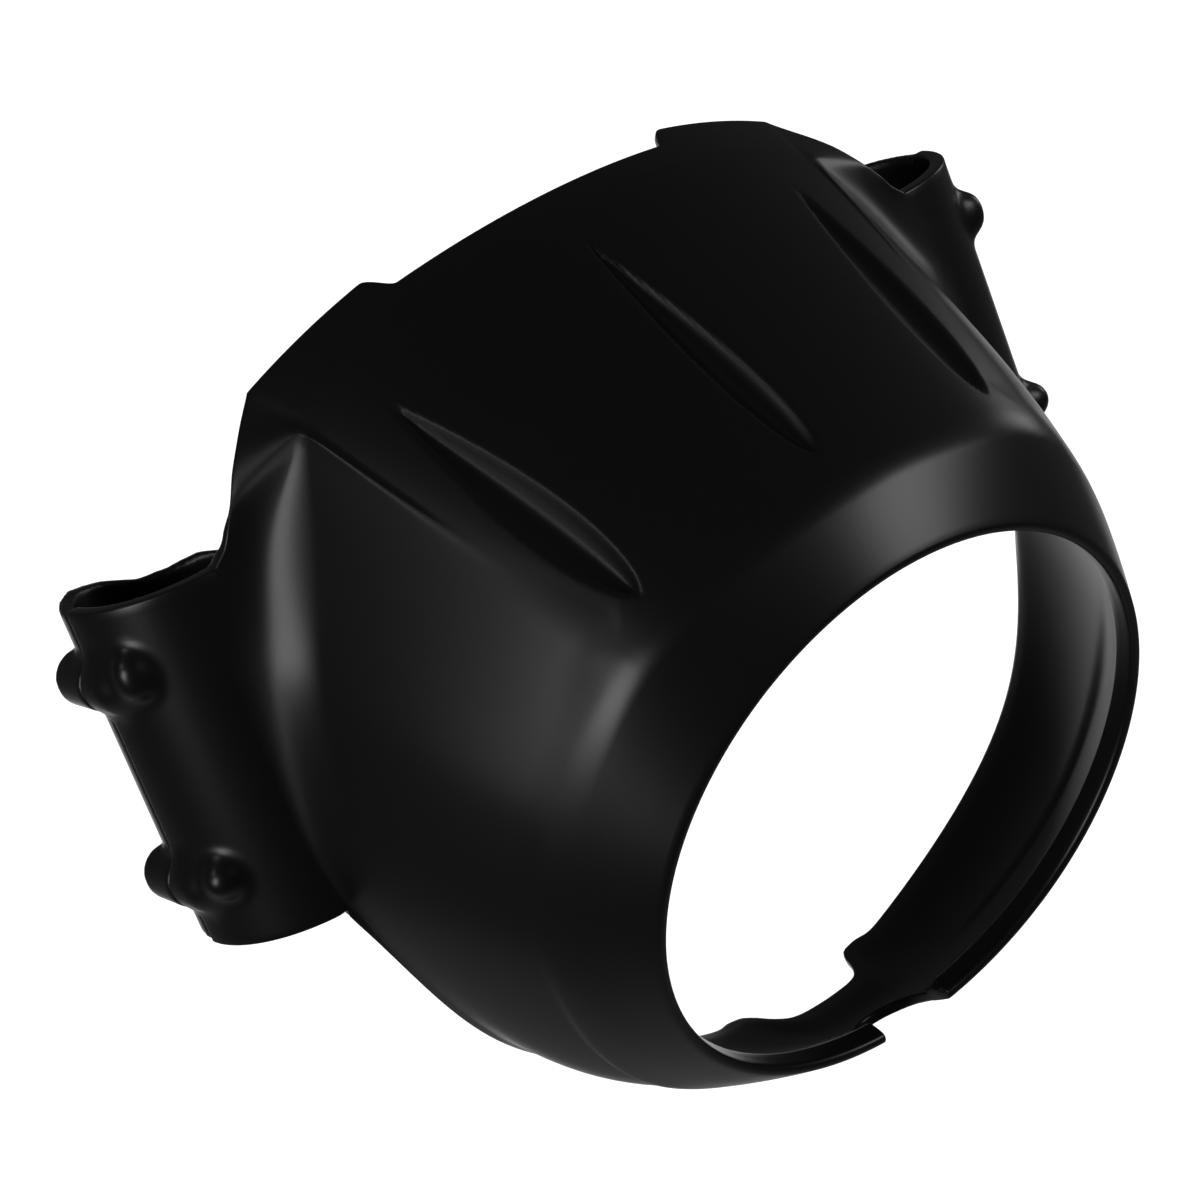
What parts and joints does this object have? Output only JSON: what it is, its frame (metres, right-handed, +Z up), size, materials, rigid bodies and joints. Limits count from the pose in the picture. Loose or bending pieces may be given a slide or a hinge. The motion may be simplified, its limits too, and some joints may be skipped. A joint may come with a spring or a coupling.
{
  "type": "motorbike headlight cowl",
  "caption": "Moulded black headlight cowl for a naked motorbike: fluted top panel, round lamp opening and a split clamp on each side that grips the raked fork tubes.",
  "frame": {"origin": "on the lamp axis, inside the cylindrical land of the lamp opening, 3 mm behind the centre of the front crest circle", "axes": "X to the viewer's right when facing the lamp, -Y forward along the lamp axis, +Z up on the upright bike; the fork tubes rake back 26.3 degrees towards the top"},
  "size_m": [0.2972, 0.1751, 0.2272],
  "materials": {
    "shell_plastic": "satin to semi-gloss black moulded plastic with a very fine moulded grain",
    "clamp_plastic": "satin black moulded plastic",
    "screw_steel": "blackened steel socket head screw",
    "insert_brass": "plain machined brass"
  },
  "bodies": {
    "root": {"cowl_shell": "shell_plastic", "rear_clamp_left": "clamp_plastic", "rear_clamp_right": "clamp_plastic", "clamp_screws": "screw_steel", "clamp_inserts": "insert_brass"}
  },
  "joints": []
}
